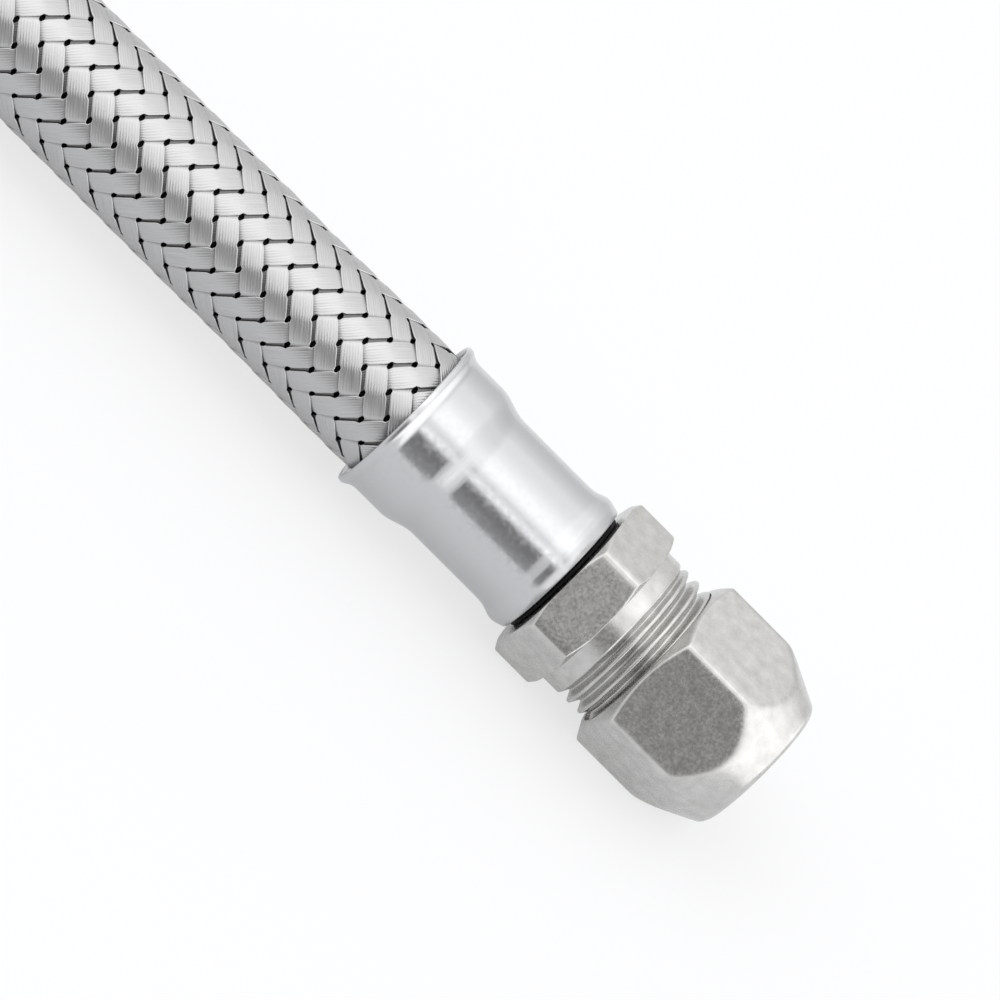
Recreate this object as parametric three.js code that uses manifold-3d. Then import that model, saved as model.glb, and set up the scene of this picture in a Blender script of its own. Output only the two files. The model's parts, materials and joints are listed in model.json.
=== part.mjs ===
// A straight braided flexible hose for water: a rubber liner in a woven wire braid, with a 15 mm
// compression fitting on one end and a swivel tap connector on the other.
// The hose lies along X, resting on a flat of each nut, with Z up and the middle of its box at X = 0.
import * as THREE from "three";
import { mergeVertices } from "three/addons/utils/BufferGeometryUtils.js";
import Module from "manifold-3d";

const wasm = await Module();
wasm.setup();

// Driving dimensions, in millimetres and degrees.
const overallLength = 300;

// Liner: the black rubber tube that carries the water.
const linerBore = 13;
const linerWall = 1.55;
const linerShown = 0.75;
const linerRimHeight = 0.65;

// Braid: flat bands of wire that run both ways round the hose, each over two bands and under two.
const bandsEachWay = 12;
const gapSpacing = 4.13;
const bandHeight = 0.6;
const bandEdge = 0.12;
const bandDip = 0.35;
const braidCore = 0.35;
const braidFit = 0.2;
const braidPressed = 0.1;
const lastGapInFerrule = 5.23;
const gapRowAngle = 42.5;
const braidShortOfFerrule = 0.9;

// Ferrules: thin steel sleeves that grip the braid on each fitting's stem.
const ferruleLength = 26.65;
const ferruleWall = 0.5;
const mouthFit = 0.6;
const crimpFit = 0.35;
const lipHeight = 0.7;
const lipRound = 0.5;
const lipWidth = 1.9;
const mouthLength = 6.8;
const neckLength = 3.8;
const beadHeight = 0.6;
const beadRise = 2.4;
const beadFall = 1.75;

// Stems: the barbed tails that the liner is pushed on, one on each fitting.
const waterBore = 10.4;
const stemLength = 22;
const stemFit = 0.2;
const barbCount = 3;
const barbPitch = 5.5;
const barbDepth = 0.35;
const barbRampShare = 0.75;
const barbEndShare = 0.78;

// Compression body: hexagon, shank and male pipe thread, with a socket for the pipe.
const bodyHexFlats = 21.5;
const bodyHexLength = 6.6;
const bodyHexAngle = 5.5;
const bodyHexChamfer = 0.64;
const shankLength = 2.5;
const threadOutside = 20.95;
const threadPitch = 1.814;
const threadDepthShare = 0.6403;
const threadLeadIn = 0.93;
const threadLength = 12.5;
const pipeOutside = 15;
const pipeFit = 0.1;
const socketDepth = 11;
const seatSlope = 0.8;
const seatWidth = 1.25;

// Olive: the brass ring that is squeezed onto the pipe.
const oliveLength = 6.4;
const oliveWall = 1.1;
const oliveEdge = 0.4;
const oliveTaper = 1.2;
const oliveInSeat = 0.6;

// Compression nut.
const nutFlats = 23;
const nutLength = 18.6;
const threadShown = 4.8;
const threadFit = 0.25;
const nutBackRadius = 11.05;
const nutBackChamferAngle = 60;
const nutConeAngle = 26;
const nutFrontRadius = 8.8;
const nutFrontRound = 0.9;
const nutPipeFit = 0.25;
const nutSeatRecess = 1;

// Tap end: insert with a flange, swivel nut and washer.
const swivelFlats = 23;
const swivelLength = 15;
const swivelPlay = 0.6;
const swivelWall = 2.5;
const swivelFit = 0.3;
const swivelMouthChamfer = 1;
const neckDiameter = 14;
const flangeSetBack = 0.05;
const flangeThickness = 2.4;
const washerDiameter = 17.9;
const washerFit = 0.37;
const washerHole = 11;
const washerThickness = 2;
const faceFit = 0.1;

// How finely the round surfaces are divided.
const outsideFacets = 36;
const boreFacets = 30;
const ferruleFacets = 26;
const stemFacets = 20;
const ringFacets = 22;
const threadFacets = 20;

// How far cutting shapes reach past what they cut, and how near points are the same point.
const cutPast = 1;
const cornerPast = 0.2;
const samePoint = 1e-4;

// Radii and places that follow from the driving dimensions.
const linerRadius = linerBore / 2 + linerWall;
const braidInside = linerRadius + braidFit;
const braidValley = braidInside + braidCore;
const braidCrest = braidValley + bandHeight;
const braidPressedRadius = braidValley - braidPressed;
const crimpRadius = braidPressedRadius + crimpFit + ferruleWall;
const mouthRadius = braidCrest + mouthFit + ferruleWall;
const stemRadius = linerBore / 2 - stemFit;
const socketRadius = pipeOutside / 2 + pipeFit;
const threadRadius = threadOutside / 2;
const threadDepth = threadDepthShare * threadPitch;
const hoseEnd = ferruleLength + linerShown;
const bodyThreadStart = hoseEnd + bodyHexLength + shankLength;
const bodyMouth = bodyThreadStart + threadLength;
const nutBack = bodyThreadStart + threadShown;
const compressionReach = nutBack + nutLength;
const oliveStart = bodyMouth - oliveInSeat;
const swivelBack = hoseEnd + swivelPlay;
const tapReach = swivelBack + swivelLength;
const swivelThreadMinor = washerDiameter + 2 * washerFit;
const flangeDiameter = washerDiameter - 2 * flangeSetBack;
const flangeBack = swivelBack + swivelWall + swivelFit;
const washerBack = flangeBack + flangeThickness + faceFit;
const compressionMouthX = overallLength / 2 - compressionReach;
const tapMouthX = tapReach - overallLength / 2;
const axisHeight = Math.max(nutFlats, swivelFlats) / 2;

const degrees = THREE.MathUtils.degToRad;

// A closed geometry as a solid that can be joined and cut.
function solidOf(geometry) {
  const bare = geometry.clone();
  bare.deleteAttribute("normal");
  bare.deleteAttribute("uv");
  const merged = mergeVertices(bare, samePoint);
  return new wasm.Manifold(
    new wasm.Mesh({
      numProp: 3,
      vertProperties: merged.attributes.position.array,
      triVerts: new Uint32Array(merged.index.array),
    }),
  );
}

// A joined or cut solid as a geometry.
function geometryOf(solid) {
  const made = solid.getMesh();
  const geometry = new THREE.BufferGeometry();
  geometry.setAttribute("position", new THREE.BufferAttribute(made.vertProperties, 3));
  geometry.setIndex(new THREE.BufferAttribute(made.triVerts, 1));
  geometry.computeVertexNormals();
  return geometry;
}

// The finishes of the real pieces.
const rubber = { color: 0x161616, roughness: 0.7, metalness: 0 };
const drawnWire = { color: 0xbfc0c0, roughness: 0.35, metalness: 1 };
const polishedSteel = { color: 0xc9cbcd, roughness: 0.18, metalness: 1 };
const nickelPlate = { color: 0xb9b6ae, roughness: 0.3, metalness: 1 };
const bareBrass = { color: 0xc8a24a, roughness: 0.35, metalness: 1 };

// A named mesh with a material of its own.
function piece(name, geometry, finish) {
  const mesh = new THREE.Mesh(geometry, new THREE.MeshStandardMaterial(finish));
  mesh.name = name;
  return mesh;
}

// A shape turned round the X axis from [x, radius] points. The profile closes on itself, or starts
// and ends on the axis.
function turned(profile, facets) {
  const outline = profile.map(([x, radius]) => new THREE.Vector2(radius, x));
  const onAxis = profile[0][1] === 0 && profile[profile.length - 1][1] === 0;
  if (!onAxis) outline.push(outline[0].clone());
  if (THREE.ShapeUtils.isClockWise(outline)) outline.reverse();
  return new THREE.LatheGeometry(outline, facets).rotateZ(-Math.PI / 2);
}

// A hexagonal bar along X, with a corner at the given angle up from -Y.
function hexBar(flats, from, to, cornerAngle) {
  const corner = flats / Math.sqrt(3);
  const bar = new THREE.CylinderGeometry(corner, corner, to - from, 6);
  bar.rotateZ(-Math.PI / 2).rotateX(degrees(90 - cornerAngle));
  return bar.translate((from + to) / 2, 0, 0);
}

// Points of an S-shaped step in radius, level at both ends.
function easedStep(fromX, toX, fromRadius, toRadius, steps) {
  const points = [];
  for (let i = 0; i <= steps; i++) {
    const share = i / steps;
    const rise = (1 - Math.cos(Math.PI * share)) / 2;
    points.push([
      THREE.MathUtils.lerp(fromX, toX, share),
      THREE.MathUtils.lerp(fromRadius, toRadius, rise),
    ]);
  }
  return points;
}

// Points of a quarter round or a longer arc about a centre, in degrees from the +X direction.
function arc(centreX, centreRadius, radius, fromAngle, toAngle, steps) {
  const points = [];
  for (let i = 0; i <= steps; i++) {
    const angle = degrees(THREE.MathUtils.lerp(fromAngle, toAngle, i / steps));
    points.push([centreX + radius * Math.cos(angle), centreRadius + radius * Math.sin(angle)]);
  }
  return points;
}

// The rubber tube, with a rim at each end that shows between the ferrule and the fitting.
function innerTube() {
  const rim = linerRadius + linerRimHeight;
  const bore = linerBore / 2;
  const right = compressionMouthX + hoseEnd - faceFit;
  const left = tapMouthX - hoseEnd + faceFit;
  const rimWidth = linerShown - 2 * faceFit;
  return turned(
    [
      [left, bore],
      [right, bore],
      [right, rim],
      [right - rimWidth, rim],
      [right - rimWidth, linerRadius],
      [left + rimWidth, linerRadius],
      [left + rimWidth, rim],
      [left, rim],
    ],
    2 * bandsEachWay,
  ).rotateX(degrees(90 - gapRowAngle));
}

// The braid is drawn on a lattice: columns half a gap spacing apart along the hose, and rows round
// it. A gap between the bands lies where column plus row is even, and a crossing where it is odd.
function wireBraid() {
  const rows = 2 * bandsEachWay;
  const step = gapSpacing / 2;
  const lastX = compressionMouthX + lastGapInFerrule;
  const columns = Math.ceil((lastX - tapMouthX + lastGapInFerrule) / step);
  const positions = [];
  const faces = [];
  const latticeVertex = new Map();

  function place(x, row, radius) {
    const angle = degrees(gapRowAngle) + (2 * Math.PI * row) / rows;
    positions.push(x, -radius * Math.cos(angle), radius * Math.sin(angle));
    return positions.length / 3 - 1;
  }

  function gap(column, row) {
    const key = column * rows + THREE.MathUtils.euclideanModulo(row, rows);
    if (!latticeVertex.has(key)) {
      latticeVertex.set(key, place(lastX - step * (columns - column), row, braidValley));
    }
    return latticeVertex.get(key);
  }

  // The float of a band over two crossings: a low border through six gaps, and a raised top.
  // Rising bands climb with the column, and falling ones are their mirror image.
  function float(column, row, rising) {
    const side = rising ? 1 : -1;
    const at = (along, across) => [column + along - across, row + side * (along + across)];
    const low = (along, across) => gap(...at(along, across));
    const high = (along, across) => {
      const [c, r] = at(along, across);
      return place(lastX - step * (columns - c), r, braidCrest);
    };
    const border = [low(0, 0), low(1, 0), low(2, 0), low(2, 1), low(1, 1), low(0, 1)];
    const top = [
      high(bandDip, bandEdge),
      high(2 - bandDip, bandEdge),
      high(2 - bandDip, 1 - bandEdge),
      high(bandDip, 1 - bandEdge),
    ];
    const skin = [
      [border[0], border[1], top[0]],
      [border[1], top[1], top[0]],
      [border[1], border[2], top[1]],
      [border[2], border[3], top[2]],
      [border[2], top[2], top[1]],
      [border[3], border[4], top[2]],
      [border[4], top[3], top[2]],
      [border[4], border[5], top[3]],
      [border[5], border[0], top[0]],
      [border[5], top[0], top[3]],
      [top[0], top[1], top[2]],
      [top[0], top[2], top[3]],
    ];
    skin.forEach(([a, b, c]) => faces.push(...(rising ? [a, b, c] : [a, c, b])));
  }

  // Going round the hose, two rows of crossings have the rising bands on top, then two the falling.
  const fits = (column) => column >= 1 && column + 2 <= columns;
  for (let column = 0; column <= columns; column++) {
    for (let row = 0; row < rows; row++) {
      const turn = row % 4;
      const odd = (column - columns + row) % 2 !== 0;
      if (fits(column) && turn === 0 && !odd) float(column, row, true);
      if (fits(column) && turn === 1 && !odd) float(column, row, false);
      const start = turn === 1 || turn === 0 ? column : column - 1;
      const crossing = odd && column > 0 && column < columns;
      if (crossing && !fits(start)) {
        const left = gap(column - 1, row);
        const right = gap(column + 1, row);
        faces.push(left, gap(column, row - 1), right, left, right, gap(column, row + 1));
      }
    }
  }

  // Under the ferrules the braid is pressed smooth, and inside it is a plain tube.
  const rightX = compressionMouthX + ferruleLength - braidShortOfFerrule;
  const leftX = tapMouthX - ferruleLength + braidShortOfFerrule;
  const ring = (x, radius) => Array.from({ length: rows }, (_, row) => place(x, row, radius));
  const edge = (first, second) =>
    Array.from({ length: rows }, (_, row) =>
      gap((row + first - columns) % 2 === 0 ? first : second, row),
    );
  const bands = [
    ring(leftX, braidInside),
    ring(leftX, braidPressedRadius),
    edge(0, 1),
    edge(columns, columns - 1),
    ring(rightX, braidPressedRadius),
    ring(rightX, braidInside),
  ];
  const joined = [
    [bands[0], bands[1]],
    [bands[1], bands[2]],
    [bands[3], bands[4]],
    [bands[4], bands[5]],
    [bands[5], bands[0]],
  ];
  for (const [near, far] of joined) {
    for (let row = 0; row < rows; row++) {
      const next = (row + 1) % rows;
      faces.push(near[row], far[row], far[next], near[row], far[next], near[next]);
    }
  }

  const geometry = new THREE.BufferGeometry();
  geometry.setAttribute("position", new THREE.Float32BufferAttribute(positions, 3));
  geometry.setIndex(faces);
  geometry.computeVertexNormals();
  return geometry;
}

// A ferrule, from its flared mouth at 0 to its rolled bead at the fitting. One sheet all through,
// so the inside follows the outside at the wall's thickness.
function ferrule() {
  const lipTop = mouthRadius + lipHeight;
  const neckEnd = mouthLength + neckLength;
  const beadMiddle = ferruleLength - beadFall;
  const beadStart = beadMiddle - beadRise;
  const crimpInside = crimpRadius - ferruleWall;
  const mouthInside = mouthRadius - ferruleWall;
  const outside = [
    ...arc(lipRound, lipTop - lipRound, lipRound, 180, 60, 3),
    [lipWidth, mouthRadius],
    ...easedStep(mouthLength, neckEnd, mouthRadius, crimpRadius, 4),
    ...easedStep(beadStart, beadMiddle, crimpRadius, crimpRadius + beadHeight, 2),
    ...easedStep(beadMiddle, ferruleLength, crimpRadius + beadHeight, crimpRadius, 2).slice(1),
  ];
  const inside = [
    [ferruleLength, crimpInside],
    [beadMiddle, crimpInside + beadHeight / 2],
    [beadStart, crimpInside],
    ...easedStep(neckEnd, mouthLength, crimpInside, mouthInside, 2),
    [lipWidth, mouthInside],
  ];
  return turned([...outside, ...inside], ferruleFacets);
}

// The outline of a stem from its tip to the hose end, with barbs that point back at the fitting.
function stemOutline() {
  const tip = hoseEnd - stemLength;
  const root = stemRadius - barbDepth;
  const outline = [[tip, root]];
  for (let barb = 0; barb < barbCount; barb++) {
    const start = tip + barb * barbPitch;
    outline.push([start + barbPitch * barbRampShare, stemRadius]);
    outline.push([start + barbPitch * barbEndShare, root]);
  }
  outline.push([hoseEnd, root]);
  return outline;
}

// A right-hand pipe thread as a bar: four lines to each pitch, two along the root and two along the
// crest, wound round the bar so that each column of points stands a little further on. The middle
// point of each end stands clear of the last turn.
function threadedBar(crest, depth, from, to) {
  const shares = [0, 1 / 6, 1 / 2, 2 / 3];
  const radii = [crest - depth, crest - depth, crest, crest];
  const lines = Math.ceil((to - from) / threadPitch + 1) * shares.length;
  const ends = [from - 2 * threadPitch, to + 3 * threadPitch];
  const positions = [ends[0], 0, 0, ends[1], 0, 0];
  const faces = [];
  for (let column = 0; column < threadFacets; column++) {
    const angle = (2 * Math.PI * column) / threadFacets;
    for (let line = 0; line <= lines; line++) {
      const turns = Math.floor(line / shares.length) + shares[line % shares.length] - 1;
      const x = from + threadPitch * (turns + column / threadFacets);
      const radius = radii[line % shares.length];
      positions.push(x, radius * Math.cos(angle), radius * Math.sin(angle));
    }
  }
  const point = (column, line) => 2 + column * (lines + 1) + line;
  for (let column = 0; column < threadFacets; column++) {
    const last = column === threadFacets - 1;
    const next = last ? 0 : column + 1;
    const shift = last ? shares.length : 0;
    for (let line = 0; line + shift < lines; line++) {
      const [a, b] = [point(column, line), point(column, line + 1)];
      const [c, d] = [point(next, line + shift + 1), point(next, line + shift)];
      faces.push(a, c, b, a, d, c);
    }
    faces.push(0, point(next, shift), point(column, 0));
  }
  // The steps where the winding starts and ends.
  for (let line = 0; line < shares.length; line++) {
    faces.push(0, point(0, line), point(0, line + 1));
    const top = lines - shares.length + line;
    faces.push(1, point(threadFacets - 1, top + 1), point(threadFacets - 1, top));
  }
  for (let column = 0; column < threadFacets - 1; column++) {
    faces.push(1, point(column, lines), point(column + 1, lines));
  }
  faces.push(1, point(threadFacets - 1, lines - shares.length), point(0, lines));
  const geometry = new THREE.BufferGeometry();
  geometry.setAttribute("position", new THREE.Float32BufferAttribute(positions, 3));
  geometry.setIndex(faces);
  return geometry;
}

// The compression body, turned from hexagonal bar: stem, hexagon, shank, thread and pipe socket.
function compressionBody() {
  const hexEnd = hoseEnd + bodyHexLength;
  const corner = bodyHexFlats / Math.sqrt(3) + cornerPast;
  const faceSlope = Math.sqrt(3);
  const beyondFace = corner - (bodyHexChamfer + cutPast) * faceSlope;
  const stem = turned([[hoseEnd - stemLength, 0], ...stemOutline(), [hoseEnd, 0]], stemFacets);
  const hexagon = solidOf(hexBar(bodyHexFlats, hoseEnd, hexEnd, bodyHexAngle)).intersect(
    solidOf(
      turned(
        [
          [hoseEnd - cutPast, 0],
          [hoseEnd - cutPast, beyondFace],
          [hoseEnd + bodyHexChamfer, corner],
          [hexEnd - bodyHexChamfer, corner],
          [hexEnd + cutPast, beyondFace],
          [hexEnd + cutPast, 0],
        ],
        outsideFacets,
      ),
    ),
  );
  const shank = turned(
    [
      [hexEnd - cutPast, 0],
      [hexEnd - cutPast, threadRadius],
      [bodyThreadStart, threadRadius],
      [bodyThreadStart + threadDepth, threadRadius - threadDepth],
      [bodyThreadStart + threadDepth, 0],
    ],
    threadFacets,
  );
  const threadBlank = turned(
    [
      [hexEnd, 0],
      [hexEnd, threadRadius + cutPast],
      [bodyMouth - threadLeadIn - cutPast, threadRadius + cutPast],
      [bodyMouth, threadRadius - threadLeadIn],
      [bodyMouth, 0],
    ],
    threadFacets,
  );
  const bar = threadedBar(threadRadius, threadDepth, bodyThreadStart, bodyMouth + cutPast);
  const thread = solidOf(bar).intersect(solidOf(threadBlank));
  const passage = turned(
    [
      [hoseEnd - stemLength - cutPast, 0],
      [hoseEnd - stemLength - cutPast, waterBore / 2],
      [bodyMouth - socketDepth, waterBore / 2],
      [bodyMouth - socketDepth, socketRadius],
      [bodyMouth - seatWidth / seatSlope, socketRadius],
      [bodyMouth, socketRadius + seatWidth],
      [bodyMouth + cutPast, socketRadius + seatWidth],
      [bodyMouth + cutPast, 0],
    ],
    boreFacets,
  );
  const outside = solidOf(stem).add(hexagon).add(solidOf(shank)).add(thread);
  return geometryOf(outside.subtract(solidOf(passage)));
}

// The olive: a short brass ring with a taper at each end.
function olive() {
  const end = oliveStart + oliveLength;
  return turned(
    [
      [oliveStart, socketRadius],
      [oliveStart, socketRadius + oliveEdge],
      [oliveStart + oliveTaper, socketRadius + oliveWall],
      [end - oliveTaper, socketRadius + oliveWall],
      [end, socketRadius + oliveEdge],
      [end, socketRadius],
    ],
    ringFacets,
  );
}

// The compression nut: a hexagon with a chamfered back, and a long cone in front of it that leaves
// a round scallop on each flat. Inside, a cone presses on the olive.
function compressionNut() {
  const corner = nutFlats / Math.sqrt(3) + cornerPast;
  const backSlope = Math.tan(degrees(nutBackChamferAngle));
  const coneSlope = Math.tan(degrees(nutConeAngle));
  const front = nutBack + nutLength;
  const edge = arc(front - nutFrontRound, nutFrontRadius, nutFrontRound, 90 - nutConeAngle, 0, 3);
  const [coneEnd, coneEndRadius] = edge[0];
  const outside = turned(
    [
      [nutBack, 0],
      [nutBack, nutBackRadius],
      [nutBack + (corner - nutBackRadius) / backSlope, corner],
      [coneEnd - (corner - coneEndRadius) / coneSlope, corner],
      ...edge,
      [front, 0],
    ],
    outsideFacets,
  );
  const seatFrom = oliveStart + oliveLength - oliveInSeat;
  const pipeRadius = pipeOutside / 2 + nutPipeFit;
  const seatTop = socketRadius + seatWidth;
  const bore = threadRadius + threadFit;
  const inside = turned(
    [
      [nutBack - cutPast, 0],
      [nutBack - cutPast, bore],
      [seatFrom - nutSeatRecess, bore],
      [seatFrom - nutSeatRecess, seatTop],
      [seatFrom, seatTop],
      [seatFrom + (seatTop - pipeRadius) / seatSlope, pipeRadius],
      [front + cutPast, pipeRadius],
      [front + cutPast, 0],
    ],
    boreFacets,
  );
  const hexagon = solidOf(hexBar(nutFlats, nutBack, front, 0));
  return geometryOf(hexagon.intersect(solidOf(outside)).subtract(solidOf(inside)));
}

// The tap insert: stem, plain neck that the nut swivels on, and the flange that the nut pulls on.
function tapInsert() {
  const neck = neckDiameter / 2;
  const flange = flangeDiameter / 2;
  const flangeFront = flangeBack + flangeThickness;
  return turned(
    [
      [hoseEnd - stemLength, waterBore / 2],
      ...stemOutline(),
      [hoseEnd, neck],
      [flangeBack, neck],
      [flangeBack, flange],
      [flangeFront, flange],
      [flangeFront, waterBore / 2],
    ],
    stemFacets,
  );
}

// The swivel nut: a hexagon chamfered at both ends, open in front and with a hole for the neck.
function swivelNut() {
  const corner = swivelFlats / Math.sqrt(3) + cornerPast;
  const slope = Math.tan(degrees(nutBackChamferAngle));
  const front = swivelBack + swivelLength;
  const chamferWidth = (corner - nutBackRadius) / slope;
  const outside = turned(
    [
      [swivelBack, 0],
      [swivelBack, nutBackRadius],
      [swivelBack + chamferWidth, corner],
      [front - chamferWidth, corner],
      [front, nutBackRadius],
      [front, 0],
    ],
    outsideFacets,
  );
  const threadBore = swivelThreadMinor / 2;
  const inside = turned(
    [
      [swivelBack - cutPast, 0],
      [swivelBack - cutPast, neckDiameter / 2 + swivelFit],
      [swivelBack + swivelWall, neckDiameter / 2 + swivelFit],
      [swivelBack + swivelWall, threadBore],
      [front - swivelMouthChamfer, threadBore],
      [front, threadBore + swivelMouthChamfer],
      [front + cutPast, threadBore + swivelMouthChamfer],
      [front + cutPast, 0],
    ],
    boreFacets,
  );
  const hexagon = solidOf(hexBar(swivelFlats, swivelBack, front, 0));
  return geometryOf(hexagon.intersect(solidOf(outside)).subtract(solidOf(inside)));
}

// The flat sealing washer that sits on the flange.
function tapWasher() {
  return turned(
    [
      [washerBack, washerHole / 2],
      [washerBack, washerDiameter / 2],
      [washerBack + washerThickness, washerDiameter / 2],
      [washerBack + washerThickness, washerHole / 2],
    ],
    ringFacets,
  );
}

// Each end is a group whose origin is its ferrule's mouth, with +X pointing away from the hose.
const compressionEnd = new THREE.Group();
compressionEnd.position.x = compressionMouthX;
compressionEnd.add(
  piece("compression_end_ferrule", ferrule(), polishedSteel),
  piece("compression_body", compressionBody(), nickelPlate),
  piece("olive", olive(), bareBrass),
  piece("compression_nut", compressionNut(), nickelPlate),
);

const tapEnd = new THREE.Group();
tapEnd.position.x = tapMouthX;
tapEnd.rotation.z = Math.PI;
tapEnd.add(
  piece("tap_end_ferrule", ferrule(), polishedSteel),
  piece("tap_insert", tapInsert(), nickelPlate),
  piece("swivel_nut", swivelNut(), nickelPlate),
  piece("tap_washer", tapWasher(), rubber),
);

const hose = new THREE.Group();
hose.position.z = axisHeight;
hose.add(
  piece("inner_tube", innerTube(), rubber),
  piece("wire_braid", wireBraid(), drawnWire),
  compressionEnd,
  tapEnd,
);

export default hose;
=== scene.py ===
# %% [markdown]
# # A braided flexible hose
# This lesson dresses a plumber's flexible hose: a black rubber liner inside a woven wire braid, gripped by a
# pressed steel ferrule on each fitting. One end has a compression nut for a 15 mm pipe, the other a swivel
# nut for a tap. The solids that carry size and motion come from the frame, and nothing here moves them.
#
# Every new piece is a surface worked out with numpy. A size is written in millimetres, as on a drawing, and
# turned into metres only when a mesh is made.

# %% Load the frame
import json
import bpy
import numpy as np
from mathutils import Matrix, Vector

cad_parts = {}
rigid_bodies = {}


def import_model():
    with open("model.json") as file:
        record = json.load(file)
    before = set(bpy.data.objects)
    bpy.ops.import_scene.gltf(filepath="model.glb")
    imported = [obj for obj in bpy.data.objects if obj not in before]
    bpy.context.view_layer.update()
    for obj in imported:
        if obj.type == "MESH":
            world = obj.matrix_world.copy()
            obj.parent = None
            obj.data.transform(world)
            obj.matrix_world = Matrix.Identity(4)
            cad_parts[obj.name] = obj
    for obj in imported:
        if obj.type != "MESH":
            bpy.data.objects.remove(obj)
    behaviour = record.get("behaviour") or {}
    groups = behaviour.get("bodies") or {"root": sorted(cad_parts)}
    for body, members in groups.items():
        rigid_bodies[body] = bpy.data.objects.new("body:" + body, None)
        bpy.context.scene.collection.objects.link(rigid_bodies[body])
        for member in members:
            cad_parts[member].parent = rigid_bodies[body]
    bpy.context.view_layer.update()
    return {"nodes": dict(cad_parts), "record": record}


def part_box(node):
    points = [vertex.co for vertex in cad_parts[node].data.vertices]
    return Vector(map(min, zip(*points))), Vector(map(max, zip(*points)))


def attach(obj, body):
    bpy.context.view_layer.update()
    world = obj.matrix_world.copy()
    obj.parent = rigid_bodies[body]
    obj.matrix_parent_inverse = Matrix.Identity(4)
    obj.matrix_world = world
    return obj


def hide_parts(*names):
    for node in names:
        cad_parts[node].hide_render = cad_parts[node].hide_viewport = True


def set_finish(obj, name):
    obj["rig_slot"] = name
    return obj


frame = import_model()
print("solids:", ", ".join(sorted(frame["nodes"])))

# %% [markdown]
# The hose lies along X. Each end is drawn from its own ferrule's mouth, with x growing away from the hose, so
# the two ends can share their drawings. Angles round the hose are counted up from the near side, -Y, over the
# top.

# %% Where the two ends are
MM = 0.001
liner_low, liner_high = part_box("inner_tube")
AXIS_Z = (liner_low.z + liner_high.z) / 2
COMPRESSION_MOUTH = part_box("compression_end_ferrule")[0].x
TAP_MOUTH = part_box("tap_end_ferrule")[1].x
ENDS = {"compression": (COMPRESSION_MOUTH, 1), "tap": (TAP_MOUTH, -1)}
FREE_HOSE = COMPRESSION_MOUTH - TAP_MOUTH
print(f"axis {AXIS_Z / MM:.1f} mm up, free hose {FREE_HOSE / MM:.1f} mm long")


# %% Places on one end's own axis
def reach(end, node):
    """Where a solid starts and stops on one end's own axis, in mm from that end's mouth."""
    origin, side = ENDS[end]
    return sorted(side * (corner.x - origin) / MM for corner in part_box(node))


def points_at(end, x, radius, angle):
    """Row-frame points from x and radius in mm and an angle in radians, on one end's own axis.

    y is minus radius times the angle's cosine and z is radius times its sine. The tap end is the same drawing
    turned half round Z, so both x and y change sign there and the surface doesn't turn inside out.
    """
    origin, side = ENDS[end]
    x, radius, angle = np.broadcast_arrays(x, radius, angle)
    along = origin + side * x * MM
    across = -side * radius * MM * np.cos(angle)
    up = AXIS_Z + radius * MM * np.sin(angle)
    return np.stack([along, across, up], axis=-1)


HOSE_LEFT, HOSE_RIGHT = reach("compression", "inner_tube")
print(f"liner from {HOSE_LEFT:.1f} to {HOSE_RIGHT:.1f} mm, seen from the compression ferrule's mouth")

# %% [markdown]
# The camera stands where the photograph was taken from: far away with a long lens, 40 degrees up, a little to
# the hose's side of the nut, and rolled so that the hose runs down to the right. Its frame is 118 mm wide at
# the hose, which is 1000 pixels at 8.48 pixels to the millimetre. The ferrule's mouth, seen at its own pixel,
# says where to aim.

# %% Camera
FRAME_PIXELS = 1000
PIXELS_PER_MM = 8.48
MOUTH_PIXEL = (401.4, 410.4)
CAMERA_UP = np.radians(40)
CAMERA_TURN = np.radians(5)
CAMERA_ROLL = np.radians(45.03)
CAMERA_DISTANCE = 1.1

straight_on = np.array([0, -np.cos(CAMERA_UP), np.sin(CAMERA_UP)])
over_the_top = np.array([0, np.sin(CAMERA_UP), np.cos(CAMERA_UP)])
hose_axis = np.array([1, 0, 0])
towards_camera = np.cos(CAMERA_TURN) * straight_on - np.sin(CAMERA_TURN) * hose_axis
seen_axis = np.cos(CAMERA_TURN) * hose_axis + np.sin(CAMERA_TURN) * straight_on
camera_right = np.cos(CAMERA_ROLL) * seen_axis + np.sin(CAMERA_ROLL) * over_the_top
camera_up = np.cos(CAMERA_ROLL) * over_the_top - np.sin(CAMERA_ROLL) * seen_axis

mouth_centre = np.array([COMPRESSION_MOUTH, 0, AXIS_Z])
across, down = (FRAME_PIXELS / 2 - np.array(MOUTH_PIXEL)) / PIXELS_PER_MM * MM
aim = mouth_centre + across * camera_right - down * camera_up
eye = aim + CAMERA_DISTANCE * towards_camera

camera_data = bpy.data.cameras.new("studio_camera")
camera_data.lens = camera_data.sensor_width * CAMERA_DISTANCE / (FRAME_PIXELS / PIXELS_PER_MM * MM)
camera = bpy.data.objects.new("studio_camera", camera_data)
bpy.context.scene.collection.objects.link(camera)
turn = Matrix((camera_right, camera_up, towards_camera)).transposed().to_4x4()
camera.matrix_world = Matrix.Translation(eye) @ turn
bpy.context.scene.camera = camera
print(f"lens {camera_data.lens:.0f} mm")

# %% [markdown]
# Every turned or woven piece is a grid of points: rows along a profile, columns round it. Neighbouring points
# make a four-sided face, wound so that it looks outwards when the rows run with x and the columns with the
# angle. A closed profile gives a closed skin with no seam to sew.


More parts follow.
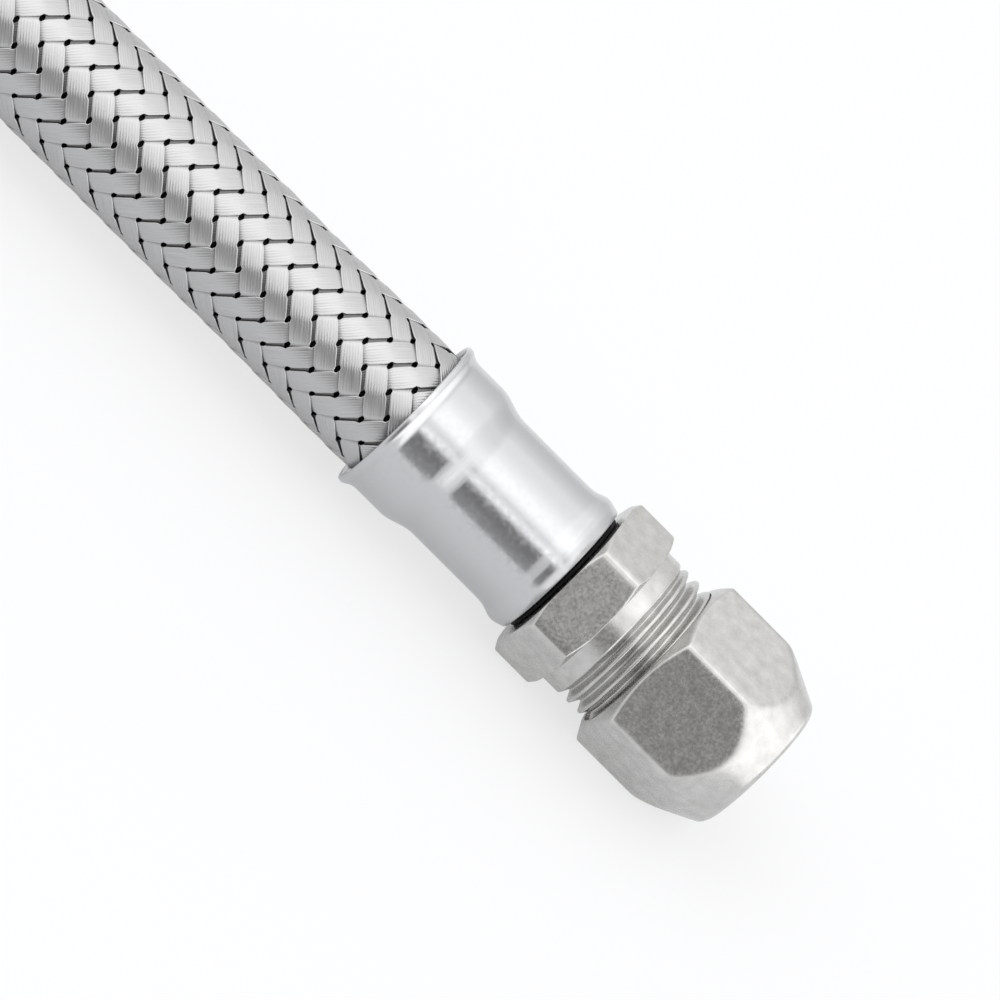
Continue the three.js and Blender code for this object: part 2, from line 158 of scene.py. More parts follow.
# %% From a grid of points to a piece
def grid_faces(rows, columns, wrap_rows=True):
    """Corner numbers of the faces between neighbouring grid points. Columns always join round, rows may."""
    row = np.arange(rows if wrap_rows else rows - 1)[:, None]
    column = np.arange(columns)[None, :]
    next_row = (row + 1) % rows
    next_column = (column + 1) % columns
    corners = np.broadcast_arrays(
        row * columns + column,
        next_row * columns + column,
        next_row * columns + next_column,
        row * columns + next_column,
    )
    return np.stack(corners, axis=-1).reshape(-1, 4)


def make_piece(name, points, faces, body, slot, node):
    """A smooth-shaded piece at the origin, riding on a body, with a slot's finish, for a CAD node."""
    mesh = bpy.data.meshes.new(name)
    mesh.from_pydata(points.reshape(-1, 3).tolist(), [], faces)
    mesh.shade_smooth()
    piece = bpy.data.objects.new(name, mesh)
    bpy.context.scene.collection.objects.link(piece)
    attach(piece, body)
    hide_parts(node)
    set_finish(piece, slot)
    print(f"{name}: {len(mesh.vertices)} points, {len(mesh.loops) - 2 * len(mesh.polygons)} triangles")
    return piece


# %% [markdown]
# A turned part is its section carried round the axis. It could be a screw modifier on a drawn outline, but a
# plain function of the outline can also change the radius on the way round, which hexagons and threads need.
# On a lathe no corner is perfectly sharp, and the small rounds are what catch the light, so each corner of a
# section gets its own rounding.

# %% A section's outline
CURVE_STEPS = 5
NEAR = 0.04
EDGE, SOFT_EDGE = 0.1, 0.2
NO_FILL = 0


def section(corners):
    """A closed outline in (x, radius) from corners of (x, radius, rounding, spacing), in mm.

    Each corner becomes a quadratic curve: (1-t)^2 A + 2t(1-t) corner + t^2 B, where A and B lie on the two
    straights at the rounding's distance from the corner. One more point close to A and B keeps the straights
    flat in smooth shading. A spacing above 0 fills the straight that follows with points that far apart.
    """
    table = np.array(corners, float)
    corner = table[:, :2]
    onward = np.roll(corner, -1, axis=0) - corner
    length = np.linalg.norm(onward, axis=1, keepdims=True)
    onward = onward / length
    inward = np.roll(onward, 1, axis=0)
    rounding = table[:, 2:3]
    first, last = corner - inward * rounding, corner + onward * rounding
    t = np.linspace(0, 1, CURVE_STEPS)[:, None]
    outline = []
    for i in range(len(corner)):
        curve = (1 - t) ** 2 * first[i] + 2 * t * (1 - t) * corner[i] + t**2 * last[i]
        next_first = first[(i + 1) % len(corner)]
        gap = np.linalg.norm(next_first - last[i])
        outline += [curve]
        if gap > 4 * NEAR:
            fill = max(2, int(np.ceil(gap / table[i, 3])) if table[i, 3] else 2)
            along = np.concatenate([[NEAR], np.linspace(0, gap, fill)[1:-1], [gap - NEAR]])
            outline += [last[i] + along[:, None] * onward[i]]
    return np.concatenate(outline)


# %% A section carried round
ROUND_COLUMNS = 160
ROUND_ANGLES = np.linspace(0, 2 * np.pi, ROUND_COLUMNS, endpoint=False)


def turned_piece(name, end, outline, body, slot, node, angles=ROUND_ANGLES, shape=None):
    """Carries an outline round the axis. shape(x, radius, angle) may change the radius on the way round."""
    x, radius = outline[:, :1], outline[:, 1:]
    if shape is not None:
        radius = shape(x, radius, angles)
    points = points_at(end, x, radius, angles)
    return make_piece(name, points, grid_faces(*points.shape[:2]).tolist(), body, slot, node)


# %% [markdown]
# A hexagon turned from bar is the smaller, at each place, of the bar's six flats and the turned cone that
# chamfers its ends: that is what leaves a curved scallop on every flat. Cutting one solid with the other
# would leave knife edges. A soft minimum, which adds high powers, makes the same shape with its edges
# slightly rounded, as plating leaves them. The lower the power, the rounder the edge.

# %% Hexagons
SOFTNESS = 80
EDGE_SOFTNESS = 50
SECTOR_COLUMNS = 24
print(f"{6 * SECTOR_COLUMNS} columns round a hexagon, {ROUND_COLUMNS} round a plain turned part")


def soft_minimum(*sizes):
    """(a^-p + b^-p + ...)^(-1/p): nearly the smallest size, rounded over where two are alike."""
    return sum(size**-SOFTNESS for size in sizes) ** (-1 / SOFTNESS)


def hexagon_radius(flats, corner_angle, angle):
    """Radius of a hexagon: each flat lies at half the width over the cosine of the angle from its middle."""
    middles = corner_angle + np.radians(30 + 60 * np.arange(6))
    facing = np.maximum(np.cos(angle[..., None] - middles), 1e-6)
    return (np.sum((facing / (flats / 2)) ** EDGE_SOFTNESS, axis=-1)) ** (-1 / EDGE_SOFTNESS)


def hexagon_angles(corner_angle):
    """Angles round a hexagon, closer together near each corner: the offset grows with its square."""
    share = np.linspace(-1, 1, SECTOR_COLUMNS, endpoint=False)
    offset = np.radians(30) * np.sign(share) * share**2
    return (corner_angle + np.radians(60 * np.arange(6))[:, None] + offset).ravel()


# %% [markdown]
# A thread is a ridge that climbs one pitch to a turn. Swept along a helix it would have to be joined to its
# rod. Worked out as a height over the rod's own grid, it is one skin with the rod, and it can fade out where
# the die stopped.

# %% Pipe thread
THREAD_PITCH = 1.814
THREAD_DEPTH = 0.6403 * THREAD_PITCH
THREAD_STEP = 0.12
print(f"thread {THREAD_DEPTH:.2f} mm deep")


def thread_height(x, angle):
    """How high a right-hand thread stands at a place, from 0 in the root to 1 on the crest.

    The place's share of a turn is x over the pitch, less the right-hand angle over a full turn. A triangle
    wave of that share, with a sixth cut off its top and bottom, is the pipe thread: straight flanks
    55 degrees apart, and narrow flats that smooth shading rounds.
    """
    share = x / THREAD_PITCH + angle / (2 * np.pi)
    wave = np.abs(2 * (share % 1) - 1)
    return np.clip(1.5 * wave - 0.25, 0, 1)


def eased(x, start, finish):
    """0 before start, 1 after finish, and a smooth S between: 3t^2 - 2t^3."""
    t = np.clip((x - start) / (finish - start), 0, 1)
    return t * t * (3 - 2 * t)


# %% [markdown]
# ## The braid
# A braiding machine lays twelve flat bands of wire round the hose one way and twelve the other. Each band
# goes over two of the others and then under two. Painting this on a tube would look flat from the side, so
# each band is a real ribbon of eight wires that rises and dips. Its neighbours pinch it between crossings,
# and the black liner shows through the small holes that this leaves.

# %% Braid sizes
BANDS = 12
ROWS = 2 * BANDS
ROW_ANGLE = 2 * np.pi / ROWS
GAP_SPACING = 4.1
LAST_GAP = 4.99
GAP_ANGLE = np.radians(43)
BRAID_RADIUS = 8.82

half_gap = GAP_SPACING / 2
row_arc = ROW_ANGLE * BRAID_RADIUS
crossing_length = np.hypot(half_gap, row_arc)
print(f"braid angle {np.degrees(np.arctan2(row_arc, half_gap)):.1f} degrees, a crossing every "
      f"{crossing_length:.2f} mm, bands {row_arc * 2 * half_gap / crossing_length:.2f} mm apart")

# %% [markdown]
# The ferrule squeezes the hose, which bulges a little just outside its mouth. That is a small change of the
# radius along x, so one wave of a cosine is enough, and it fades out where the hose is free.

# %% Swelling at a ferrule's mouth
SWELL = 0.07
SWELL_CREST, SWELL_WAVE = 5, 32
SWELL_FADE, SWELL_END = 24, 29


def mouth_swell(x):
    """A wave of a cosine over the distance from the mouth, crest first and then a waist, eased to nothing."""
    distance = np.clip(-x, 0, SWELL_END)
    wave = np.cos(2 * np.pi * (distance - SWELL_CREST) / SWELL_WAVE)
    return SWELL * wave * eased(distance, SWELL_END, SWELL_FADE)


print(f"the braid swells by {mouth_swell(-SWELL_CREST):.2f} mm")

# %% [markdown]
# Across a band, each wire has two points on its top and shares one with its neighbour in the groove between
# them. Along it there are three stations to a crossing: one at the narrowest place, halfway to the next
# crossing, and one close by on either side, where the band bends. More points would show no more from here.

# %% The shape of one band
WIRES = 8
POINTS_PER_WIRE = 3
BAND_WIDTH = 2.9
WIRE_RADIUS = BAND_WIDTH / WIRES / 2
GROOVE, WIRE_TOP, UNDERSIDE = 0.78, 0.94, -0.7
UNDERSIDE_WIDTH = 0.98
DIP, LEVEL_POWER = 0.17, 0.4
PINCH, PINCH_POWER = 0.23, 8
STATIONS = np.array([0, 0.16, 0.84])

wire_point = np.arange(POINTS_PER_WIRE * WIRES + 1)
wire_ridge = np.where(wire_point % POINTS_PER_WIRE == 0, GROOVE, WIRE_TOP)
BAND_ACROSS = np.append(wire_point / wire_point[-1] * 2 - 1, [UNDERSIDE_WIDTH, -UNDERSIDE_WIDTH])
BAND_RIDGE = np.append(wire_ridge, [UNDERSIDE, UNDERSIDE]) * WIRE_RADIUS
print(f"{WIRES} wires of {2 * WIRE_RADIUS:.2f} mm, {len(BAND_ACROSS)} points round a band")


# %% Points of the woven bands
def woven_bands(rising):
    """Points of all bands one way, as an array of band, station along it and point across it.

    A band's middle line climbs one row of crossings for each half gap it runs along the hose. It stands high
    for two rows and low for two: the sign of a sine, times its size to a small power, so that the band lies
    level on its floats and dips steeply between them. Across the band, each wire is a round ridge. A high
    power of another sine, which is 1 halfway between two crossings, narrows the band there.
    """
    side = 1 if rising else -1
    crossings = int(np.ceil((FREE_HOSE / MM + 2 * LAST_GAP) / half_gap))
    along = (-crossings + np.arange(crossings)[:, None] + STATIONS).ravel()[None, :, None] + 0.5
    row = side * along + 2 * np.arange(BANDS)[:, None, None] + 1
    wave = np.sin(np.pi / 2 * (row - 0.5))
    lift = side * np.sign(wave) * np.abs(wave) ** LEVEL_POWER
    pinched = 1 - PINCH * np.abs(np.sin(np.pi * along)) ** PINCH_POWER
    sideways = BAND_ACROSS * pinched * BAND_WIDTH / 2 / crossing_length
    x = LAST_GAP + half_gap * along - side * row_arc * sideways
    rows_round = row + half_gap * sideways / row_arc
    radius = BRAID_RADIUS + DIP * lift + BAND_RIDGE
    radius = radius + mouth_swell(x) + mouth_swell(-FREE_HOSE / MM - x)
    proud = np.where(BAND_RIDGE < 0, 0, (lift + 1) / 2)
    return points_at("compression", x, radius, GAP_ANGLE + ROW_ANGLE * rows_round), proud


# %% [markdown]
# The wire's finish needs to know two things that only the weave knows: which way a wire runs, and whether it
# lies on top or dives under. The first is kept as a UV map, the second as a number on each point.

# %% What the weave tells the finish
BAND_APART = 1000


def add_band_coordinates(mesh, bands, stations, around):
    """A UV map in mm: u runs along the bands, each band on its own stretch, and v counts the wires across."""
    corner = np.zeros(len(mesh.loops), np.int32)
    mesh.loops.foreach_get("vertex_index", corner)
    band, rest = np.divmod(corner, stations * around)
    station, point = np.divmod(rest, around)
    u = station * crossing_length / len(STATIONS) + band * BAND_APART
    v = np.minimum(point, POINTS_PER_WIRE * WIRES) / POINTS_PER_WIRE
    layer = mesh.uv_layers.new(name="band")
    layer.data.foreach_set("uv", np.stack([u, v], axis=-1).astype(np.float32).ravel())


def add_height(mesh, proud):
    """A number on each point, named proud: 1 on top of a float, 0 in a dip and on the underside."""
    height = mesh.attributes.new("proud", "FLOAT", "POINT")
    height.data.foreach_set("value", proud.astype(np.float32).ravel())


# %% Weave both ways
def band_piece(name, rising):
    """Joins each band's points into a closed ribbon, with its two ends filled by fans of triangles."""
    points, proud = woven_bands(rising)
    bands, stations, around = points.shape[:3]
    skin = grid_faces(stations, around, wrap_rows=False)[:, ::-1]
    left = np.stack([np.zeros(around - 2, int), np.arange(1, around - 1), np.arange(2, around)], axis=-1)
    right = left[:, ::-1] + (stations - 1) * around
    start = np.arange(bands)[:, None, None] * stations * around
    faces = (skin + start).reshape(-1, 4).tolist()
    faces += (left + start).reshape(-1, 3).tolist() + (right + start).reshape(-1, 3).tolist()
    piece = make_piece(name, points, faces, "root", "braid_wire", "wire_braid")
    add_band_coordinates(piece.data, bands, stations, around)
    add_height(piece.data, proud)
    return piece


rising_bands = band_piece("braid_rising_bands", True)
falling_bands = band_piece("braid_falling_bands", False)

# %% [markdown]
# ## The liner
# Extruded rubber, smooth and dull. Only its ends and what shows through the gaps are ever seen, but it is
# made whole, with the slightly proud rim that stands between the ferrule and the fitting.

# %% Liner
LINER_RADIUS, LINER_BORE, RIM_RADIUS, RIM_WIDTH = 8.05, 6.5, 8.7, 0.55
liner_outline = section([
    (HOSE_LEFT, LINER_BORE, EDGE, NO_FILL),
    (HOSE_LEFT, RIM_RADIUS, SOFT_EDGE, NO_FILL),
    (HOSE_LEFT + RIM_WIDTH, RIM_RADIUS, SOFT_EDGE, NO_FILL),
    (HOSE_LEFT + RIM_WIDTH, LINER_RADIUS, EDGE, NO_FILL),
    (HOSE_RIGHT - RIM_WIDTH, LINER_RADIUS, EDGE, NO_FILL),
    (HOSE_RIGHT - RIM_WIDTH, RIM_RADIUS, SOFT_EDGE, NO_FILL),
    (HOSE_RIGHT, RIM_RADIUS, SOFT_EDGE, NO_FILL),
    (HOSE_RIGHT, LINER_BORE, EDGE, NO_FILL),
])
turned_piece("rubber_liner", "compression", liner_outline, "root", "liner_rubber", "inner_tube")

# %% [markdown]
# ## The ferrules
# Each ferrule is pressed from thin stainless tube: a flared lip at its mouth, a wide land, a neck down to the
# crimped middle, and a rolled bead at the fitting. Corners joined by straights would look machined. Here the
# outside is one smooth function of x, and the inside follows it at the sheet's thickness.

# %% The ferrule's outside
FERRULE_LENGTH = reach("compression", "compression_end_ferrule")[1]
LAND_RADIUS, CRIMP_RADIUS = 10.3, 9.33
LIP_TOP, LIP_CENTRE, LIP_FALL = 11.0, 0.8, 0.95
NECK_START, NECK_FINISH = 6.7, 11.2
BEAD_HEIGHT, BEAD_CENTRE, BEAD_RISE, BEAD_FALL = 0.62, FERRULE_LENGTH - 1.8, 1.4, 1.75


def ferrule_radius(x):
    """Land radius eased down to the crimp, plus a bell curve for the lip and one for the bead."""
    land = LAND_RADIUS + (CRIMP_RADIUS - LAND_RADIUS) * eased(x, NECK_START, NECK_FINISH)
    lip = (LIP_TOP - LAND_RADIUS) * np.exp(-((np.maximum(x - LIP_CENTRE, 0) / LIP_FALL) ** 2))
    bead_slope = np.where(x < BEAD_CENTRE, BEAD_RISE, BEAD_FALL)
    bead = BEAD_HEIGHT * np.exp(-(((x - BEAD_CENTRE) / bead_slope) ** 2))
    return land + lip + bead


print(f"ferrule {FERRULE_LENGTH:.2f} mm long, {2 * ferrule_radius(BEAD_CENTRE):.1f} mm across its bead")

# %% Ferrules
SHEET, END_ROUND = 0.5, 0.2
FERRULE_END = FERRULE_LENGTH - END_ROUND
ROUND_POINTS = 9
STRETCHES = [(LIP_CENTRE, 2.4, 14), (2.6, 6, 4), (6.2, 11.3, 24), (11.6, 21.2, 5), (21.5, FERRULE_END, 26)]


def half_round(x, radius, reach_out):
    """Half an ellipse over the sheet's cut edge: reach_out times a sine in x, half a sheet's cosine up."""
    t = np.linspace(0, np.pi, ROUND_POINTS)[:, None][1:-1]
    side = np.sign(reach_out)
    return [x, radius - SHEET / 2] + np.hstack([reach_out * np.sin(t), side * SHEET / 2 * np.cos(t)])


def ferrule_outline():
    """Outside from mouth to bead, then back inside.

    A stretch is its start, its finish and a number of points: close together where the radius changes fast.
    """
    x = np.concatenate([np.linspace(*stretch) for stretch in STRETCHES])
    outside = np.stack([x, ferrule_radius(x)], axis=-1)
    inside = outside[::-1] - [0, SHEET]
    end_round = half_round(FERRULE_END, ferrule_radius(FERRULE_END), END_ROUND)
    mouth_round = half_round(LIP_CENTRE, LIP_TOP, -SHEET)
    return np.concatenate([outside, end_round, inside, mouth_round])


for end in ENDS:
    turned_piece(f"{end}_ferrule_skin", end, ferrule_outline(), "root", "ferrule_steel",
                                 f"{end}_end_ferrule")

# %% [markdown]
# ## The compression body
# One piece turned from hexagonal brass bar and nickel plated. The barbed stem is inside the hose. Past the
# hexagon come a plain shank and the male half inch pipe thread, which runs under the nut. Since one bar is
# turned, bored and threaded, one closed section makes it all.

# %% Barbed stem
STEM_TIP, BODY_MOUTH = reach("compression", "compression_body")
FACE_GAP = 0.1
HOSE_END = HOSE_RIGHT + FACE_GAP
STEM_RADIUS, WATER_BORE = 6.3, 5.2
BARBS, BARB_DEPTH, BARB_PITCH = 3, 0.35, 5.5
RAMP_SHARE, BACK_SHARE = 0.75, 0.8


def stem_corners():
    """Corners of the barbed stem from its tip to the hose's end: long ramps with a short back to each."""
    root = STEM_RADIUS - BARB_DEPTH
    corners = [(STEM_TIP, root, 0.15, NO_FILL)]
    for barb in range(BARBS):
        start = STEM_TIP + barb * BARB_PITCH
        corners += [(start + RAMP_SHARE * BARB_PITCH, STEM_RADIUS, EDGE / 2, NO_FILL)]
        corners += [(start + BACK_SHARE * BARB_PITCH, root, EDGE / 2, NO_FILL)]
    return corners + [(HOSE_END, root, EDGE / 2, NO_FILL)]


print(f"stem {HOSE_END - STEM_TIP:.1f} mm long with {BARBS} barbs")

# %% Section of the body
BODY_FLATS, BODY_CORNER_ANGLE = 21.5, np.radians(5.5)
BODY_CORNER = BODY_FLATS / np.sqrt(3) + 0.2
FACE_RADIUS, FACE_CHAMFER, FACE_EDGE, CHAMFER_STEP = 11.25, 0.72, 0.12, 0.08
HEX_END = HOSE_END + 6.6
THREAD_START = HEX_END + 2.5
THREAD_RADIUS, LEAD_IN = 10.475, 1
SOCKET, SOCKET_DEPTH = 7.6, 11
SEAT_WIDTH, SEAT_DEPTH = 1.25, 1.55
body_outline = section([
    (STEM_TIP, WATER_BORE, EDGE, NO_FILL),
    *stem_corners(),
    (HOSE_END, FACE_RADIUS, FACE_EDGE, CHAMFER_STEP),
    (HOSE_END + FACE_CHAMFER, BODY_CORNER, EDGE, 0.5),
    (HEX_END - FACE_CHAMFER, BODY_CORNER, EDGE, CHAMFER_STEP),
    (HEX_END, FACE_RADIUS, FACE_EDGE, NO_FILL),
    (HEX_END, THREAD_RADIUS, EDGE, THREAD_STEP),
    (BODY_MOUTH - LEAD_IN, THREAD_RADIUS, EDGE, NO_FILL),
    (BODY_MOUTH, THREAD_RADIUS - LEAD_IN, EDGE, NO_FILL),
    (BODY_MOUTH, SOCKET + SEAT_WIDTH, EDGE, NO_FILL),
    (BODY_MOUTH - SEAT_DEPTH, SOCKET, EDGE, NO_FILL),
    (BODY_MOUTH - SOCKET_DEPTH, SOCKET, EDGE, NO_FILL),
    (BODY_MOUTH - SOCKET_DEPTH, WATER_BORE, EDGE, NO_FILL),
])
print(f"body {BODY_MOUTH - STEM_TIP:.1f} mm long, socket {SOCKET_DEPTH} mm deep")

# %% Compression body
OUTSIDE_ABOVE = THREAD_RADIUS - 1.3
SHANK_FROM = HEX_END + 0.5
RUN_OUT_START, RUN_OUT_FINISH = THREAD_START - 0.4, THREAD_START + 0.9


def body_shape(x, radius, angle):
    """The bar's hexagon wherever the section is wider, and the thread cut into the shank's outside."""
    hexagon = hexagon_radius(BODY_FLATS, BODY_CORNER_ANGLE, angle)
    cut = THREAD_DEPTH * (1 - thread_height(x, angle)) * eased(x, RUN_OUT_START, RUN_OUT_FINISH)
    on_thread = (radius > OUTSIDE_ABOVE) & (x > SHANK_FROM)
    return soft_minimum(radius, hexagon) - np.where(on_thread, cut, 0)


turned_piece("compression_body_skin", "compression", body_outline, "root", "plated_brass",
             "compression_body", hexagon_angles(BODY_CORNER_ANGLE), body_shape)

# %% [markdown]
# ## The olive
# The soft brass ring that the nut squeezes onto the pipe, tapered at both ends. It is seen only down the
# nut's hole, so a plain turned section does.

# %% Olive
OLIVE_START, OLIVE_END = reach("compression", "olive")
OLIVE_TAPER, OLIVE_LIP, OLIVE_WALL = 1.2, 0.4, 1.1
olive_outline = section([
    (OLIVE_START, SOCKET, EDGE, NO_FILL),
    (OLIVE_START, SOCKET + OLIVE_LIP, 0.08, NO_FILL),
    (OLIVE_START + OLIVE_TAPER, SOCKET + OLIVE_WALL, 0.3, NO_FILL),
    (OLIVE_END - OLIVE_TAPER, SOCKET + OLIVE_WALL, 0.3, NO_FILL),
    (OLIVE_END, SOCKET + OLIVE_LIP, 0.08, NO_FILL),
    (OLIVE_END, SOCKET, EDGE, NO_FILL),
])
turned_piece("olive_ring", "compression", olive_outline, "olive", "bare_brass", "olive")

# %% [markdown]
# ## The compression nut
# A 23 mm hexagon with a steep chamfer behind and a long cone in front, so its flats end in deep scallops.
# Inside, a recess and a cone take the olive. The section is drawn past the bar's corners, and the hexagon
# cuts it back.

# %% Compression nut
NUT_FLATS = 23
NUT_CORNER = NUT_FLATS / np.sqrt(3) + 0.3
NUT_BACK, NUT_FRONT = reach("compression", "compression_nut")
NUT_BACK_RADIUS, NUT_BORE, PIPE_HOLE = 11.05, 10.56, 7.75
BACK_CHAMFER = (NUT_CORNER - NUT_BACK_RADIUS) / np.tan(np.radians(60))
NUT_FRONT_RADIUS, FRONT_STEP, FRONT_EDGE = 9.62, 0.8, 0.35
CONE_FRONT = NUT_FRONT - 0.5
CONE_LENGTH = (NUT_CORNER - NUT_FRONT_RADIUS) / np.tan(np.radians(26))
SEAT, SEAT_RADIUS, SEAT_LENGTH, SEAT_RECESS = OLIVE_END - 0.6, 8.85, 1.38, 1
nut_outline = section([
    (NUT_BACK, NUT_BORE, 0.08, NO_FILL),
    (NUT_BACK, NUT_BACK_RADIUS, EDGE, 0.1),
    (NUT_BACK + BACK_CHAMFER, NUT_CORNER, EDGE, 1.5),
    (CONE_FRONT - CONE_LENGTH, NUT_CORNER, EDGE, 0.12),
    (CONE_FRONT, NUT_FRONT_RADIUS, FRONT_EDGE, NO_FILL),
    (NUT_FRONT, NUT_FRONT_RADIUS - FRONT_STEP, FRONT_EDGE, NO_FILL),
    (NUT_FRONT, PIPE_HOLE, SOFT_EDGE, NO_FILL),
    (SEAT + SEAT_LENGTH, PIPE_HOLE, EDGE, NO_FILL),
    (SEAT, SEAT_RADIUS, EDGE, NO_FILL),
    (SEAT - SEAT_RECESS, SEAT_RADIUS, EDGE, NO_FILL),
    (SEAT - SEAT_RECESS, NUT_BORE, SOFT_EDGE, NO_FILL),
])


def nut_shape(x, radius, angle):
    """The hexagonal bar wherever the section is wider than its flats."""
    return soft_minimum(radius, hexagon_radius(NUT_FLATS, 0, angle))


turned_piece("compression_nut_skin", "compression", nut_outline, "compression_nut", "plated_brass",
             "compression_nut", hexagon_angles(0), nut_shape)

# %% [markdown]
# ## The swivel nut
# The same hexagon, chamfered alike at both ends. Its female thread is open to view, so it is real: the bore's
# own grid is pushed outwards by the thread's height.

# %% Swivel nut
SWIVEL_BACK, SWIVEL_FRONT = reach("tap", "swivel_nut")
NECK_HOLE, THREAD_MINOR, MOUTH_CHAMFER = 7.3, 9.32, 1.1
WALL_FRONT = SWIVEL_BACK + 2.5
GROOVE_START, GROOVE_FULL = SWIVEL_BACK + 6, SWIVEL_BACK + 7.5
BORE_FROM, BORE_TO = THREAD_MINOR - 0.3, THREAD_MINOR + 1.2
swivel_outline = section([
    (SWIVEL_BACK, NECK_HOLE, SOFT_EDGE, NO_FILL),
    (SWIVEL_BACK, NUT_BACK_RADIUS, EDGE, 0.1),
    (SWIVEL_BACK + BACK_CHAMFER, NUT_CORNER, EDGE, 1.5),
    (SWIVEL_FRONT - BACK_CHAMFER, NUT_CORNER, EDGE, 0.1),
    (SWIVEL_FRONT, NUT_BACK_RADIUS, EDGE, NO_FILL),
    (SWIVEL_FRONT, THREAD_MINOR + MOUTH_CHAMFER, EDGE, THREAD_STEP),
    (SWIVEL_FRONT - MOUTH_CHAMFER, THREAD_MINOR, EDGE, THREAD_STEP),
    (WALL_FRONT, THREAD_MINOR, SOFT_EDGE, NO_FILL),
    (WALL_FRONT, NECK_HOLE, SOFT_EDGE, NO_FILL),
])


def swivel_shape(x, radius, angle):
    """As the nut, with the thread cut outwards into the bore, from the mouth to a plain run-out behind."""
    in_bore = (radius > BORE_FROM) & (radius < BORE_TO) & (x > WALL_FRONT)
    groove = THREAD_DEPTH * thread_height(x, angle) * eased(x, GROOVE_START, GROOVE_FULL)
    crest = nut_shape(x, radius, angle)
    return np.where(in_bore, np.maximum(crest, THREAD_MINOR + groove), crest)


swivel = turned_piece("swivel_nut_skin", "tap", swivel_outline, "swivel_nut", "plated_brass", "swivel_nut",
                      hexagon_angles(0), swivel_shape)

# %% [markdown]
# ## The tap insert and its washer
# The swivel nut turns on the insert's plain neck and pulls on its flange. The washer seals on the tap's end.
# Both are plain turned parts, and the insert has the same barbed stem as the body.

# %% Tap insert
FLANGE_FRONT = reach("tap", "tap_insert")[1]
FLANGE_BACK = FLANGE_FRONT - 2.4
FLANGE_RADIUS, NECK = 8.9, 7
insert_outline = section([
    (STEM_TIP, WATER_BORE, EDGE, NO_FILL),
    *stem_corners(),
    (HOSE_END, NECK, EDGE, NO_FILL),
    (FLANGE_BACK, NECK, EDGE, NO_FILL),
    (FLANGE_BACK, FLANGE_RADIUS, EDGE, NO_FILL),
    (FLANGE_FRONT, FLANGE_RADIUS, EDGE, NO_FILL),
    (FLANGE_FRONT, WATER_BORE, SOFT_EDGE, NO_FILL),
])
insert = turned_piece("tap_insert_skin", "tap", insert_outline, "root", "plated_brass", "tap_insert")

# %% Tap washer
WASHER_BACK, WASHER_FRONT = reach("tap", "tap_washer")
WASHER_RADIUS, WASHER_HOLE = 8.95, 5.5
washer_outline = section([
    (WASHER_BACK, WASHER_HOLE, EDGE, NO_FILL),
    (WASHER_BACK, WASHER_RADIUS, SOFT_EDGE, NO_FILL),
    (WASHER_FRONT, WASHER_RADIUS, SOFT_EDGE, NO_FILL),
    (WASHER_FRONT, WASHER_HOLE, SOFT_EDGE, NO_FILL),
])
washer = turned_piece("rubber_washer", "tap", washer_outline, "root", "washer_rubber", "tap_washer")

# %% [markdown]
# ## Finishes
# Metal has hardly any colour of its own: it shows the room. What tells one metal from another is how sharp
# that picture is, so each finish below is mostly a roughness and a fine relief. Noise from the piece's own
# coordinates does this with no picture file, and it stays in place when the piece moves.


# %% A new finish
def new_finish(name, colour, metallic, roughness):
    """A material with its shader set to plain values, and handles to add detail."""
    material = bpy.data.materials.new(name)
    material.use_nodes = True
    nodes, links = material.node_tree.nodes, material.node_tree.links
    shader = nodes["Principled BSDF"]
    shader.inputs["Base Color"].default_value = (*colour, 1)
    shader.inputs["Metallic"].default_value = metallic
    shader.inputs["Roughness"].default_value = roughness
    print(f"{name}: {'metal' if metallic else 'not metal'}, roughness about {roughness}")
    return material, nodes, links, shader


# %% Steps between nodes
def arithmetic(nodes, links, operation, *values):
    """One step of arithmetic on values that are sockets or plain numbers."""
    node = nodes.new("ShaderNodeMath")
    node.operation = operation
    for socket, value in zip(node.inputs, values):
        if isinstance(value, bpy.types.NodeSocket):
            links.new(value, socket)
        else:
            socket.default_value = value
    return node.outputs[0]


def spread(nodes, links, value, low, high, start=0.3, finish=0.7, smooth=False):
    """Turns a value's range from start to finish into low to high, in a straight line or a smooth S."""
    node = nodes.new("ShaderNodeMapRange")
    node.interpolation_type = "SMOOTHSTEP" if smooth else "LINEAR"
    node.inputs["From Min"].default_value = start
    node.inputs["From Max"].default_value = finish
    node.inputs["To Min"].default_value = low
    node.inputs["To Max"].default_value = high
    links.new(value, node.inputs["Value"])
    return node.outputs["Result"]


# %% Noise and what it changes
def noise(nodes, links, scale, stretch=(1, 1, 1), detail=3, source="Object"):
    """Noise read from a piece's own coordinates. A higher stretch makes it change faster along that axis."""
    place = nodes.new("ShaderNodeTexCoord")
    mapping = nodes.new("ShaderNodeMapping")
    mapping.inputs["Scale"].default_value = stretch
    texture = nodes.new("ShaderNodeTexNoise")
    texture.inputs["Scale"].default_value = scale
    texture.inputs["Detail"].default_value = detail
    links.new(place.outputs[source], mapping.inputs["Vector"])
    links.new(mapping.outputs["Vector"], texture.inputs["Vector"])
    return texture.outputs["Fac"]


def tint(nodes, links, value, dark, light, shader):
    """Colours the base between two tones by a noise value."""
    ramp = nodes.new("ShaderNodeValToRGB")
    ramp.color_ramp.elements[0].position = 0.3
    ramp.color_ramp.elements[0].color = (*dark, 1)
    ramp.color_ramp.elements[1].position = 0.7
    ramp.color_ramp.elements[1].color = (*light, 1)
    links.new(value, ramp.inputs["Fac"])
    links.new(ramp.outputs["Color"], shader.inputs["Base Color"])


